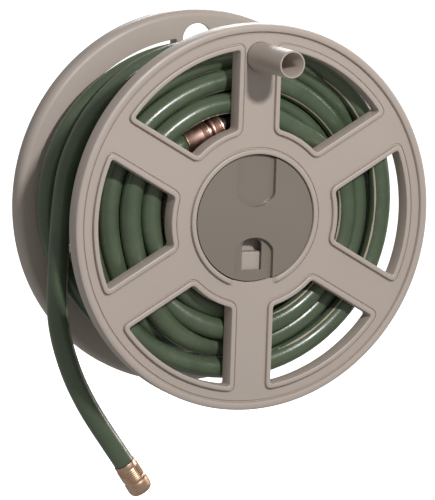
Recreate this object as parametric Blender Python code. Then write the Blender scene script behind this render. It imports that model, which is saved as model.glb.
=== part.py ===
"""Wall-mounted garden hose reel with a 15 m hose wound on it.

Metres, +Z up. The wall is the plane y = 0 and the reel stands out from it towards -Y. The spool turns
about the Y axis. Depths of the flanges are counted inwards from the plane of their outer lips.
"""

import math

import bmesh
import bpy
from mathutils import Vector
from mathutils.geometry import delaunay_2d_cdt

GAP = 0.0003

# Hose: 5/8 inch bore, 22 mm outside, wound in nested layers round the drum.
HOSE_DIAMETER = 0.022
HOSE_RADIUS = HOSE_DIAMETER / 2
DRUM_RADIUS = 0.088
DRUM_WALL = 0.003

# Flanges: six spokes and six windows each. The front one has its web near its outer face, the back
# one at its inner face.
FLANGE_RADIUS = 0.200
FLANGE_DEPTH = 0.019
FLANGE_SPACING = 0.135
RIM_STEPS = 60
HUB_STEPS = 40
SPOKES = 6
WINDOW_ANGLES = [360 / SPOKES * i for i in range(SPOKES)]
SPOKE_HALF_WIDTH = 0.0235
WINDOW_OUTER_RADIUS = 0.1755
WINDOW_INNER_RADIUS = 0.0945
WEB_FACE = 0.003
WEB_BACK = 0.007
LIP_WIDTH = 0.005
RIM_BEAD = 0.008
RIM_WALL = 0.004
COLLAR_WALL = 0.003
CUP_RADIUS = 0.0668
CUP_WALL = 0.003
CUP_FLOOR = 0.024
CUP_BACK = 0.028

BACK_FACE = -0.046
FRONT_FACE = BACK_FACE - 2 * FLANGE_DEPTH - FLANGE_SPACING
SPOOL_MIDDLE = (BACK_FACE + FRONT_FACE) / 2

# Axle, bushes and hub plates.
AXLE_RADIUS = 0.012
AXLE_BORE = 0.0065
BUSH_RADIUS = 0.015
BUSH_FLANGE_RADIUS = 0.019
BUSH_FLANGE = 0.002
HUB_PLATE = 0.004
WASHER = 0.0015
AXLE_NUT = 0.007
SCREW_CIRCLE = 0.045
SCREW_ANGLES = (90, 210, 330)
FLANGE_SCREW_HOLE = 0.0019

# Wall plate and its boss.
PLATE_WIDTH = 0.150
PLATE_HEIGHT = 0.210
PLATE_THICKNESS = 0.006
WALL_SCREW_X = 0.055
WALL_SCREW_Z = 0.085
WALL_SCREW_RADIUS = 0.0035
BOSS_RADIUS = 0.034
BOSS_FOOT_RADIUS = 0.037
BOSS_FOOT_DEPTH = 0.034
RIB_REACH = 0.062
RIB_HALF_WIDTH = 0.004
BOSS_FACE = BACK_FACE - CUP_FLOOR + BUSH_FLANGE + WASHER + 3 * GAP
SOCKET_END = -0.012
AXLE_END = FRONT_FACE + 0.0105

# Water inlet: 3/4 inch garden hose thread, pointing down behind the reel.
INLET_Y = -0.026
INLET_END = 0.064
INLET_BORE = 0.0065
INLET_SHANK_RADIUS = 0.0092
HOSE_THREAD_RADIUS = 0.01345

# Crank handle, and the back flange's spare hole for it.
HANDLE_ORBIT = 0.1665
HANDLE_HOLE_RADIUS = 0.015
SPARE_HOLE_ORBIT = 0.169
SPARE_HOLE_RADIUS = 0.0165
GRIP_RADIUS = 0.014
GRIP_ROOT_RADIUS = 0.0152
GRIP_BORE = 0.012
GRIP_LENGTH = 0.074

# Hub cap.
CAP_RADIUS = 0.0660
CAP_FACE = 0.0015
CAP_POCKET_FLOOR = 0.007
CAP_BACK = 0.0095
CAP_SKIN = 0.0025
POCKET_HALF_WIDTH = 0.022
TOP_POCKET_END = 0.012
BOTTOM_POCKET_END = -0.0195
POCKET_END_RISE = 0.0115
CAP_RIM = 0.003
CAP_POCKET_WALL = 0.002
CATCH_HOLE_HALF_WIDTH = 0.0112
CATCH_HOLE_BOTTOM = -0.054
CATCH_HOLE_TOP = -0.025
CATCH_FRONT = 0.012
CATCH_CENTRE_Z = -0.047

# Water path on the spool: swivel on the axle, elbow, and the hose's female coupling.
SWIVEL_Y = FRONT_FACE + 0.0448
SWIVEL_LENGTH = 0.024
SWIVEL_RADIUS = 0.024
SWIVEL_BORE = 0.015
AXLE_BORE_END = SWIVEL_Y - 0.009
ELBOW_ANGLE = 92
ELBOW_RADIUS = 0.0085
COUPLING_ANGLE = 112
COUPLING_ORBIT = 0.0945
COUPLING_DEPTH = 0.038
SEAL_OFFSET = -0.0066
NUT_RADIUS = 0.0150
FERRULE_END = 0.040

# Wound hose, as the outer shape of the coil.
COIL_WIDTH = 0.131
COIL_OUTER_RADIUS = 0.158

# The hose's free end, which hangs between the flanges.
TAIL_DEPTH = 0.109
TAIL_ROUTE = (
    (-0.1697, 0.000),
    (-0.1722, -0.060),
    (-0.1708, -0.115),
    (-0.1575, -0.164),
    (-0.1340, -0.211),
    (-0.0915, -0.2725),
)
FERRULE_LENGTH = 0.021
THREAD_LENGTH = 0.017

COLOURS = {
    "taupe": ((0.46, 0.39, 0.33), 0.45, 0.0),
    "dark_taupe": ((0.24, 0.20, 0.17), 0.35, 0.0),
    "black": ((0.02, 0.02, 0.02), 0.5, 0.0),
    "green": ((0.07, 0.11, 0.065), 0.35, 0.0),
    "brass": ((0.62, 0.40, 0.20), 0.3, 1.0),
    "steel": ((0.60, 0.60, 0.62), 0.35, 1.0),
    "nylon": ((0.72, 0.70, 0.66), 0.5, 0.0),
    "rubber": ((0.03, 0.03, 0.03), 0.8, 0.0),
}


def clear_scene():
    for item in list(bpy.data.objects):
        bpy.data.objects.remove(item)


def finish_of(name, finish):
    """A Principled material of the piece's own, in one of the named finishes."""
    colour, roughness, metallic = COLOURS[finish]
    made = bpy.data.materials.new(name + "_" + finish)
    made.use_nodes = True
    shader = made.node_tree.nodes["Principled BSDF"]
    shader.inputs["Base Color"].default_value = (*colour, 1)
    shader.inputs["Roughness"].default_value = roughness
    shader.inputs["Metallic"].default_value = metallic
    return made


def add_piece(name, mesh, finish, location=(0, 0, 0), direction=(0, 1, 0), parent=None):
    """Links a piece whose own +Y axis is turned to the given direction, its +Z axis staying uppermost."""
    piece = bpy.data.objects.new(name, mesh)
    if not piece.data.materials:
        piece.data.materials.append(finish_of(name, finish))
    bpy.context.scene.collection.objects.link(piece)
    piece.rotation_mode = "QUATERNION"
    piece.rotation_quaternion = Vector(direction).to_track_quat("Y", "Z")
    piece.location = location
    if parent:
        bpy.context.view_layer.update()
        piece.parent = parent
        piece.matrix_parent_inverse = parent.matrix_world.inverted()
    return piece


def add_axis(name, location):
    """An empty on a joint's axis, to which the moving pieces are parented."""
    empty = bpy.data.objects.new(name, None)
    empty.location = location
    bpy.context.scene.collection.objects.link(empty)
    bpy.context.view_layer.update()
    return empty


def mesh_of(name, bm, smooth_angle=35):
    bmesh.ops.recalc_face_normals(bm, faces=bm.faces)
    mesh = bpy.data.meshes.new(name)
    bm.to_mesh(mesh)
    bm.free()
    mesh.shade_smooth()
    mesh.set_sharp_from_angle(angle=math.radians(smooth_angle))
    return mesh


def polar(radius, degrees):
    return (radius * math.cos(math.radians(degrees)), radius * math.sin(math.radians(degrees)))


def arc(radius, start, end, steps, centre=(0, 0)):
    turns = [start + (end - start) * i / steps for i in range(steps + 1)]
    return [(centre[0] + polar(radius, a)[0], centre[1] + polar(radius, a)[1]) for a in turns]


def circle(radius, count, centre=(0, 0)):
    return arc(radius, 0, 360, count, centre)[:-1]


def inside(point, outline):
    """Whether a point lies inside a closed outline."""
    found = False
    for (ax, az), (bx, bz) in zip(outline, outline[1:] + outline[:1]):
        if (az > point[1]) != (bz > point[1]):
            crossing = ax + (point[1] - az) * (bx - ax) / (bz - az)
            found ^= point[0] < crossing
    return found


def triangles_between(outlines):
    """Triangles that fill an outline and leave the outlines inside it open."""
    points = [point for outline in outlines for point in outline]
    edges = []
    for outline in outlines:
        first = len(edges)
        count = len(outline)
        edges += [(first + i, first + (i + 1) % count) for i in range(count)]
    corners = [Vector(point) for point in points]
    found = delaunay_2d_cdt(corners, edges, [], 0, 1e-8)[2]
    kept = []
    for triangle in found:
        centre = sum((corners[i] for i in triangle), Vector((0, 0))) / 3
        if sum(inside(centre, outline) for outline in outlines) % 2:
            kept.append([points[i] for i in triangle])
    return kept


def stacked(name, walls, faces):
    """A mesh bounded by walls (an outline and the two depths it runs between) and by flat faces
    (a depth and the outlines that bound it)."""
    bm = bmesh.new()
    made = {}

    def vertex(point, depth):
        if (point, depth) not in made:
            made[point, depth] = bm.verts.new((point[0], depth, point[1]))
        return made[point, depth]

    for outline, first, last in walls:
        for here, there in zip(outline, outline[1:] + outline[:1]):
            corners = (vertex(here, first), vertex(there, first), vertex(there, last), vertex(here, last))
            bm.faces.new(corners)
    for depth, outlines in faces:
        for triangle in triangles_between(outlines):
            bm.faces.new([vertex(point, depth) for point in triangle])
    return mesh_of(name, bm)


def plate(name, outline, holes, first, last):
    walls = [(shape, first, last) for shape in [outline, *holes]]
    faces = [(depth, [outline, *holes]) for depth in (first, last)]
    return stacked(name, walls, faces)


def turned(name, profile, steps):
    """A mesh turned about the Y axis from a run of (radius, depth) points. The run closes on itself,
    unless it starts and ends on the axis."""
    bm = bmesh.new()
    corners = [bm.verts.new((radius, depth, 0)) for radius, depth in profile]
    edges = [bm.edges.new(pair) for pair in zip(corners, corners[1:])]
    if profile[0][0] > 0:
        edges.append(bm.edges.new((corners[-1], corners[0])))
    bmesh.ops.spin(bm, geom=corners + edges, cent=(0, 0, 0), axis=(0, 1, 0),
                   angle=2 * math.pi, steps=steps, use_merge=True)
    bmesh.ops.remove_doubles(bm, verts=bm.verts, dist=1e-6)
    return mesh_of(name, bm)


def ring_profile(inner, outer, first, last):
    return [(inner, first), (outer, first), (outer, last), (inner, last)]


def smooth_path(points, steps):
    """Points along a Catmull-Rom curve through the given ones."""
    padded = [2 * points[0] - points[1], *points, 2 * points[-1] - points[-2]]
    found = []
    for a, b, c, d in zip(padded, padded[1:], padded[2:], padded[3:]):
        for i in range(steps):
            t = i / steps
            found.append(0.5 * (2 * b + (c - a) * t + (2 * a - 5 * b + 4 * c - d) * t * t
                                + (3 * b - a - 3 * c + d) * t ** 3))
    found.append(points[-1])
    return found


def pipe(name, path, outer, inner, sides):
    """A tube with an open bore along a path."""
    bm = bmesh.new()
    loops = []
    side = Vector((0, 1, 0))
    for i, centre in enumerate(path):
        along = (path[min(i + 1, len(path) - 1)] - path[max(i - 1, 0)]).normalized()
        side = (side - along * side.dot(along)).normalized()
        other = along.cross(side)
        turns = [2 * math.pi * j / sides for j in range(sides)]
        spokes = [side * math.cos(a) + other * math.sin(a) for a in turns]
        loops.append([[bm.verts.new(centre + spoke * radius) for spoke in spokes]
                      for radius in (outer, inner)])
    strips = [(here[k], there[k]) for here, there in zip(loops, loops[1:]) for k in (0, 1)]
    strips += [(end[0], end[1]) for end in (loops[0], loops[-1])]
    for here, there in strips:
        for j in range(sides):
            k = (j + 1) % sides
            bm.faces.new((here[j], here[k], there[k], there[j]))
    return mesh_of(name, bm)


def box_mesh(name, size):
    bm = bmesh.new()
    bmesh.ops.create_cube(bm, size=1)
    bmesh.ops.scale(bm, vec=size, verts=bm.verts)
    return mesh_of(name, bm)


def cut(piece, cutter):
    """Takes the cutter's shape out of the piece."""
    modifier = piece.modifiers.new("cut_" + cutter.name, "BOOLEAN")
    modifier.operation = "DIFFERENCE"
    modifier.object = cutter
    cutter.hide_render = True
    cutter.display_type = "WIRE"


def soften(piece, width):
    modifier = piece.modifiers.new("edges", "BEVEL")
    modifier.width = width
    modifier.segments = 2
    modifier.limit_method = "ANGLE"
    modifier.angle_limit = math.radians(40)


def corner_cut(before, corner, after, radius):
    """Two points that take a corner off between its neighbours."""
    ends = []
    for other in (before, after):
        step = (other[0] - corner[0], other[1] - corner[1])
        length = math.hypot(*step)
        ends.append((corner[0] + step[0] * radius / length, corner[1] + step[1] * radius / length))
    return ends


def rounded(corners, radius, steps=2):
    """A closed outline whose corners are rounded."""
    outline = []
    count = len(corners)
    for i, corner in enumerate(corners):
        first, last = corner_cut(corners[i - 1], corner, corners[(i + 1) % count], radius)
        for j in range(steps + 1):
            t = j / steps
            outline.append(tuple(first[k] * (1 - t) ** 2 + 2 * corner[k] * t * (1 - t) + last[k] * t * t
                                 for k in (0, 1)))
    return outline


def window(centre_angle, grow, corner_radius):
    """A window's outline, grown outwards by the given width. Its sides run along the spokes."""
    half_gap = SPOKE_HALF_WIDTH - grow
    outer, inner = WINDOW_OUTER_RADIUS + grow, WINDOW_INNER_RADIUS - grow
    half_sector = 180 / SPOKES
    outer_half = half_sector - math.degrees(math.asin(half_gap / outer))
    inner_half = half_sector - math.degrees(math.asin(half_gap / inner))
    outer_arc = arc(outer, centre_angle - outer_half, centre_angle + outer_half, 6)
    inner_arc = arc(inner, centre_angle + inner_half, centre_angle - inner_half, 3)
    outline = []
    for run, before, after in ((outer_arc, inner_arc, inner_arc), (inner_arc, outer_arc, outer_arc)):
        outline += corner_cut(before[-1], run[0], run[1], corner_radius)
        outline += run[1:-1]
        outline += corner_cut(run[-2], run[-1], after[0], corner_radius)
    return outline


def hub_holes():
    """The outlines of the bush's hole and the hub screws' holes in a flange's cup floor."""
    bore = circle(BUSH_RADIUS + GAP, 24)
    return [bore] + [circle(FLANGE_SCREW_HOLE, 8, polar(SCREW_CIRCLE, a)) for a in SCREW_ANGLES]


def front_flange_mesh():
    """The moulded front flange, its outer lips at depth 0. A thin web carries raised lips and a rim bead
    on its face, deep collars behind them, and a cup in the middle for the hub."""
    openings = [window(a, 0, 0.003) for a in WINDOW_ANGLES]
    lips = [window(a, LIP_WIDTH, 0.008) for a in WINDOW_ANGLES]
    collars = [window(a, COLLAR_WALL, 0.005) for a in WINDOW_ANGLES]
    edge = circle(FLANGE_RADIUS, RIM_STEPS)
    bead = circle(FLANGE_RADIUS - RIM_BEAD, RIM_STEPS)
    rim = circle(FLANGE_RADIUS - RIM_WALL, RIM_STEPS)
    handle_hole = circle(HANDLE_HOLE_RADIUS, 24, (0, HANDLE_ORBIT))
    cup = circle(CUP_RADIUS, HUB_STEPS)
    cup_lip = circle(CUP_RADIUS + LIP_WIDTH, HUB_STEPS)
    cup_outside = circle(CUP_RADIUS + CUP_WALL, HUB_STEPS)
    seat_inner = circle(DRUM_RADIUS - 0.004, HUB_STEPS)
    seat_outer = circle(DRUM_RADIUS, HUB_STEPS)
    holes = hub_holes()
    walls = [(edge, 0, FLANGE_DEPTH), (bead, 0, WEB_FACE), (rim, WEB_BACK, FLANGE_DEPTH)]
    walls += [(opening, 0, FLANGE_DEPTH) for opening in openings]
    walls += [(lip, 0, WEB_FACE) for lip in lips]
    walls += [(collar, WEB_BACK, FLANGE_DEPTH) for collar in collars]
    walls += [(handle_hole, WEB_FACE, WEB_BACK), (cup, 0, CUP_FLOOR), (cup_lip, 0, WEB_FACE)]
    walls += [(cup_outside, WEB_BACK, CUP_BACK)]
    walls += [(seat_inner, WEB_BACK, FLANGE_DEPTH), (seat_outer, WEB_BACK, FLANGE_DEPTH)]
    walls += [(hole, CUP_FLOOR, CUP_BACK) for hole in holes]
    faces = [(0, [edge, bead]), (0, [cup_lip, cup])]
    faces += [(0, [lip, opening]) for lip, opening in zip(lips, openings)]
    faces += [(WEB_FACE, [bead, *lips, handle_hole, cup_lip])]
    faces += [(WEB_BACK, [rim, *collars, handle_hole, seat_outer]), (WEB_BACK, [seat_inner, cup_outside])]
    faces += [(FLANGE_DEPTH, [edge, rim]), (FLANGE_DEPTH, [seat_outer, seat_inner])]
    faces += [(FLANGE_DEPTH, [collar, opening]) for collar, opening in zip(collars, openings)]
    faces += [(CUP_FLOOR, [cup, *holes]), (CUP_BACK, [cup_outside, *holes])]
    return stacked("front_flange", walls, faces)


def back_flange_mesh():
    """The moulded back flange, its outer edges at depth 0. Its web is a flat face against the hose, and
    its rim, the collars of its windows and its cup stand out from the web towards the wall."""
    openings = [window(a, 0, 0.003) for a in WINDOW_ANGLES]
    collars = [window(a, COLLAR_WALL, 0.005) for a in WINDOW_ANGLES]
    edge = circle(FLANGE_RADIUS, RIM_STEPS)
    rim = circle(FLANGE_RADIUS - RIM_WALL, RIM_STEPS)
    spare_hole = circle(SPARE_HOLE_RADIUS, 24, (0, SPARE_HOLE_ORBIT))
    cup = circle(CUP_RADIUS, HUB_STEPS)
    cup_lip = circle(CUP_RADIUS + LIP_WIDTH, HUB_STEPS)
    cup_outside = circle(CUP_RADIUS + CUP_WALL, HUB_STEPS)
    holes = hub_holes()
    web = FLANGE_DEPTH - WEB_BACK + WEB_FACE
    walls = [(edge, 0, FLANGE_DEPTH), (rim, 0, web), (spare_hole, web, FLANGE_DEPTH)]
    walls += [(opening, 0, FLANGE_DEPTH) for opening in openings]
    walls += [(collar, 0, web) for collar in collars]
    walls += [(cup, 0, CUP_FLOOR), (cup_lip, 0, web), (cup_outside, FLANGE_DEPTH, CUP_BACK)]
    walls += [(hole, CUP_FLOOR, CUP_BACK) for hole in holes]
    faces = [(0, [edge, rim]), (0, [cup_lip, cup])]
    faces += [(0, [collar, opening]) for collar, opening in zip(collars, openings)]
    faces += [(web, [rim, *collars, spare_hole, cup_lip])]
    faces += [(FLANGE_DEPTH, [edge, *openings, spare_hole, cup_outside])]
    faces += [(CUP_FLOOR, [cup, *holes]), (CUP_BACK, [cup_outside, *holes])]
    return stacked("back_flange", walls, faces)


def pocket_end(height, bulge, half_width):
    """The curved end of a finger pocket, from its right side to its left. It bulges up (1) or down (-1)."""
    radius = (half_width ** 2 + POCKET_END_RISE ** 2) / (2 * POCKET_END_RISE)
    half_sweep = math.degrees(math.asin(half_width / radius))
    facing = 90 * bulge
    return arc(radius, facing - bulge * half_sweep, facing + bulge * half_sweep, 8,
               (0, height - bulge * radius))


def disc_sides(radius, half_width):
    """The right and left arcs that two facing notches leave of a circle."""
    side = math.degrees(math.acos(half_width / radius))
    return arc(radius, -side, side, 16), arc(radius, 180 - side, 180 + side, 16)


def notched_disc(radius, grow):
    """A disc's outline with the two finger pockets, grown by the given width, taken out of it."""
    half_width = POCKET_HALF_WIDTH + grow
    right, left = disc_sides(radius, half_width)
    top = pocket_end(TOP_POCKET_END - grow, -1, half_width)
    bottom = pocket_end(BOTTOM_POCKET_END + grow, 1, half_width)
    return right + top + left + bottom[::-1]


def hub_cap_mesh():
    """The round cover in the flange's cup, with two finger pockets and a catch hole in the lower one."""
    right, left = disc_sides(CAP_RADIUS, POCKET_HALF_WIDTH)
    side = math.degrees(math.acos(POCKET_HALF_WIDTH / CAP_RADIUS))
    top_rim = arc(CAP_RADIUS, side, 180 - side, 8)[1:-1]
    bottom_rim = arc(CAP_RADIUS, 180 + side, 360 - side, 8)[1:-1]
    top_end = pocket_end(TOP_POCKET_END, -1, POCKET_HALF_WIDTH)
    bottom_end = pocket_end(BOTTOM_POCKET_END, 1, POCKET_HALF_WIDTH)
    face = notched_disc(CAP_RADIUS, 0)
    whole = right + top_rim + left + bottom_rim
    recess = notched_disc(CAP_RADIUS - CAP_RIM, CAP_POCKET_WALL)
    half = CATCH_HOLE_HALF_WIDTH
    catch = [(-half, CATCH_HOLE_BOTTOM), (half, CATCH_HOLE_BOTTOM), (half, CATCH_HOLE_TOP),
             (-half, CATCH_HOLE_TOP)]
    skin_back = CAP_FACE + CAP_SKIN
    walls = [(face, CAP_FACE, CAP_POCKET_FLOOR), (whole, CAP_POCKET_FLOOR, CAP_BACK)]
    walls += [(recess, skin_back, CAP_BACK), (catch, CAP_POCKET_FLOOR, CAP_BACK)]
    faces = [(CAP_FACE, [face]), (skin_back, [recess]), (CAP_BACK, [whole, recess, catch])]
    faces += [(CAP_POCKET_FLOOR, [right[-1:] + top_rim + left[:1] + top_end[::-1]])]
    faces += [(CAP_POCKET_FLOOR, [left[-1:] + bottom_rim + right[:1] + bottom_end, catch])]
    return stacked("hub_cap", walls, faces)


def wall_plate_mesh():
    """The plate that is screwed to the wall, with the boss that holds the axle and four ribs at its foot."""
    half_width, half_height = PLATE_WIDTH / 2, PLATE_HEIGHT / 2
    corners = [(-half_width, -half_height), (half_width, -half_height),
               (half_width, half_height), (-half_width, half_height)]
    outline = rounded(corners, 0.018, 4)
    holes = [circle(WALL_SCREW_RADIUS + GAP, 12, (x, z)) for x in (-WALL_SCREW_X, WALL_SCREW_X)
             for z in (-WALL_SCREW_Z, WALL_SCREW_Z)]
    half_rib = math.degrees(math.asin(RIB_HALF_WIDTH / BOSS_FOOT_RADIUS))
    tip_angle = math.degrees(math.asin(RIB_HALF_WIDTH / RIB_REACH))
    foot = []
    for rib in (45, 135, 225, 315):
        foot += [polar(RIB_REACH, rib - tip_angle), polar(RIB_REACH, rib + tip_angle)]
        foot += arc(BOSS_FOOT_RADIUS, rib + half_rib, rib + 90 - half_rib, 6)
    boss = circle(BOSS_RADIUS, 36)
    socket = circle(AXLE_RADIUS + GAP, 24)
    plate_face = -PLATE_THICKNESS
    walls = [(shape, 0, plate_face) for shape in [outline, *holes]]
    walls += [(foot, plate_face, -BOSS_FOOT_DEPTH), (boss, -BOSS_FOOT_DEPTH, BOSS_FACE)]
    walls += [(socket, SOCKET_END, BOSS_FACE)]
    faces = [(0, [outline, *holes]), (plate_face, [outline, foot, *holes])]
    faces += [(-BOSS_FOOT_DEPTH, [foot, boss]), (BOSS_FACE, [boss, socket]), (SOCKET_END, [socket])]
    return stacked("wall_plate", walls, faces)


def build_bracket():
    """What stays still on the wall: plate, screws, axle with its rings and nut, and the water inlet."""
    wall_plate = add_piece("wall_plate", wall_plate_mesh(), "taupe")
    build_wall_screws()
    axle_profile = [(0, AXLE_BORE_END), (AXLE_BORE, AXLE_BORE_END + 0.003), (AXLE_BORE, SOCKET_END - GAP),
                    (AXLE_RADIUS, SOCKET_END - GAP), (AXLE_RADIUS, AXLE_END + 0.001),
                    (AXLE_RADIUS - 0.001, AXLE_END), (0, AXLE_END)]
    axle = add_piece("axle_tube", turned("axle_tube", axle_profile, 24), "steel")
    build_ports(wall_plate, axle)
    build_inlet()
    build_axle_rings()


def build_wall_screws():
    seat = -PLATE_THICKNESS - GAP
    head = seat - WASHER - GAP
    screw = turned("wall_screw", [(0, head - 0.0045), (0.0068, head - 0.0045), (0.0068, head),
                                  (WALL_SCREW_RADIUS, head), (WALL_SCREW_RADIUS, 0.026), (0, 0.034)], 6)
    washer = turned("wall_washer", ring_profile(WALL_SCREW_RADIUS + GAP, 0.009, seat - WASHER, seat), 16)
    corners = [(x, z) for z in (WALL_SCREW_Z, -WALL_SCREW_Z) for x in (-WALL_SCREW_X, WALL_SCREW_X)]
    for i, (x, z) in enumerate(corners, 1):
        add_piece(f"wall_screw_{i}", screw, "steel", (x, 0, z))
        add_piece(f"wall_washer_{i}", washer, "steel", (x, 0, z))


def drill(name, radius, length, location, direction):
    """A round cutter that starts at a place and runs in a direction."""
    mesh = turned(name, [(0, 0), (radius, 0), (radius, length), (0, length)], 24)
    return add_piece(name, mesh, "steel", location, direction)


def build_ports(wall_plate, axle):
    """The holes that lead the water into the axle at the wall and out of it in the swivel."""
    down, out = (0, 0, -1), elbow_direction()
    cut(wall_plate, drill("boss_port", INLET_SHANK_RADIUS + GAP, 0.035, (0, INLET_Y, -0.010), down))
    cut(axle, drill("axle_inlet_port", 0.005, 0.020, (0, INLET_Y, 0), down))
    cut(axle, drill("axle_outlet_port", 0.005, 0.020, (0, SWIVEL_Y, 0), out))


def build_inlet():
    """The brass male hose fitting under the boss, on which the supply hose is screwed."""
    start = AXLE_RADIUS + 2 * GAP
    collar = BOSS_FOOT_RADIUS + GAP
    profile = [(INLET_BORE, start), (INLET_SHANK_RADIUS, start), (INLET_SHANK_RADIUS, collar),
               (0.0155, collar), (0.0155, collar + 0.006), (0.0118, collar + 0.006),
               (0.0118, collar + 0.009), (HOSE_THREAD_RADIUS, collar + 0.010),
               (HOSE_THREAD_RADIUS, INLET_END - 0.001), (0.0122, INLET_END), (INLET_BORE, INLET_END)]
    add_piece("inlet_fitting", turned("inlet_fitting", profile, 24), "brass", (0, INLET_Y, 0), (0, 0, -1))


def o_ring(name, major, minor, y):
    section = [(major + minor * math.cos(a), y + minor * math.sin(a))
               for a in [math.pi * i / 3 for i in range(6)]]
    add_piece(name, turned(name, section, 24), "rubber")


def build_axle_rings():
    """O-rings in the swivel, a washer at each end of the spool, and the nut that keeps it on."""
    gap_middle = (AXLE_RADIUS + SWIVEL_BORE) / 2
    section = (SWIVEL_BORE - AXLE_RADIUS) / 2 - GAP
    o_ring("o_ring_rear", gap_middle, section, SWIVEL_Y + SWIVEL_LENGTH / 2 - 0.003)
    o_ring("o_ring_front", gap_middle, section, SWIVEL_Y - SWIVEL_LENGTH / 2 + 0.003)
    washer = ring_profile(AXLE_RADIUS + GAP, BUSH_FLANGE_RADIUS, 0, WASHER)
    washer_mesh = turned("thrust_washer", washer, 24)
    add_piece("rear_thrust_washer", washer_mesh, "steel", (0, BOSS_FACE - GAP - WASHER, 0))
    front_washer_y = FRONT_FACE + CUP_FLOOR - BUSH_FLANGE - 2 * GAP - WASHER
    add_piece("front_thrust_washer", washer_mesh, "steel", (0, front_washer_y, 0))
    nut_back = front_washer_y - GAP
    nut_hole = circle(AXLE_RADIUS + GAP, 24)
    nut = plate("axle_nut", circle(0.0205, 6), [nut_hole], nut_back - AXLE_NUT, nut_back)
    soften(add_piece("axle_nut", nut, "steel"), 0.0008)


def build_hub(end, face_y, direction, parent):
    """The hub plate, flanged bush and three screws that carry one flange on the axle."""
    plate_start = CUP_BACK + GAP
    plate_end = plate_start + HUB_PLATE
    screw_holes = [circle(FLANGE_SCREW_HOLE, 8, polar(SCREW_CIRCLE, a)) for a in SCREW_ANGLES]
    bush_hole = circle(BUSH_RADIUS + GAP, 24)
    edge = circle(DRUM_RADIUS - DRUM_WALL - GAP, HUB_STEPS)
    disc = plate(end + "_hub_plate", edge, [bush_hole, *screw_holes], plate_start, plate_end)
    hub_plate = add_piece(end + "_hub_plate", disc, "taupe", (0, face_y, 0), direction, parent)
    flange_top = CUP_FLOOR - GAP - BUSH_FLANGE
    bush = [(AXLE_RADIUS + GAP, flange_top), (BUSH_FLANGE_RADIUS, flange_top),
            (BUSH_FLANGE_RADIUS, CUP_FLOOR - GAP), (BUSH_RADIUS, CUP_FLOOR - GAP),
            (BUSH_RADIUS, plate_end), (AXLE_RADIUS + GAP, plate_end)]
    add_piece(end + "_bush", turned(end + "_bush", bush, 24), "nylon", (0, face_y, 0), direction, parent)
    seat = CUP_FLOOR - GAP
    shank = FLANGE_SCREW_HOLE - GAP
    screw = turned(end + "_flange_screw", [(0, seat - 0.003), (0.003, seat - 0.003), (0.0045, seat - 0.0015),
                   (0.0045, seat), (shank, seat), (shank, plate_end + 0.002), (0, plate_end + 0.003)], 8)
    for i, angle in enumerate(SCREW_ANGLES, 1):
        x, z = polar(SCREW_CIRCLE, angle)
        place = (x, face_y, z) if direction[1] > 0 else (-x, face_y, z)
        add_piece(f"{end}_flange_screw_{i}", screw, "steel", place, direction, parent)
    return hub_plate


def elbow_direction():
    x, z = polar(1, ELBOW_ANGLE)
    return Vector((x, 0, z))


def coupling_frame():
    """The point where the coupling's seal lies and the direction in which the hose leaves it."""
    x, z = polar(COUPLING_ORBIT, COUPLING_ANGLE)
    along = Vector((-z, 0, x)).normalized()
    foot = Vector((x, FRONT_FACE + COUPLING_DEPTH, z))
    return foot + along * SEAL_OFFSET, along


def build_water_path(spool, nut_axis):
    """Swivel, elbow and female coupling, through which the water reaches the wound hose."""
    half = SWIVEL_LENGTH / 2
    housing = add_piece("water_swivel", turned("water_swivel", ring_profile(SWIVEL_BORE, SWIVEL_RADIUS,
                        SWIVEL_Y - half, SWIVEL_Y + half), 32), "black", parent=spool)
    out = elbow_direction()
    start = out * (SWIVEL_RADIUS + GAP) + Vector((0, SWIVEL_Y, 0))
    cut(housing, drill("swivel_port", 0.005, 0.030, (0, SWIVEL_Y, 0), out))
    seal, along = coupling_frame()
    corner_reach = COUPLING_ORBIT / math.cos(math.radians(COUPLING_ANGLE - ELBOW_ANGLE))
    corner = out * corner_reach + Vector((0, seal.y, 0))
    leg_end = out * (corner_reach - 0.020) + Vector((0, SWIVEL_Y, 0))
    route = [start, (start + leg_end) / 2, leg_end, corner - out * 0.005 + along * 0.005,
             corner + along * 0.012, seal - along * 0.012, seal]
    elbow = pipe("outlet_elbow", smooth_path(route, 2), ELBOW_RADIUS, 0.005, 12)
    add_piece("outlet_elbow", elbow, "black", parent=spool)

    stem = 0.0094
    washer = turned("coupling_washer", ring_profile(0.0052, 0.0115, GAP, 0.0028), 24)
    add_piece("coupling_washer", washer, "rubber", seal, along, spool)
    ferrule = [(0.0062, 0.0031), (0.0125, 0.0031), (0.0125, 0.0051), (stem, 0.0051), (stem, 0.0125),
               (0.0130, 0.0125), (0.0130, FERRULE_END), (0.0062, FERRULE_END)]
    add_piece("female_ferrule", turned("female_ferrule", ferrule, 24), "brass", seal, along, spool)
    nut = [(ELBOW_RADIUS + GAP, -0.010), (NUT_RADIUS - 0.001, -0.010), (NUT_RADIUS, -0.009),
           (NUT_RADIUS, 0.0085), (NUT_RADIUS - 0.001, 0.0095), (stem + GAP, 0.0095), (stem + GAP, 0.0055),
           (0.0129, 0.0055), (0.0129, -0.0004), (ELBOW_RADIUS + GAP, -0.0004)]
    add_piece("swivel_nut", turned("swivel_nut", nut, 24), "brass", seal, along, nut_axis)


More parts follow.
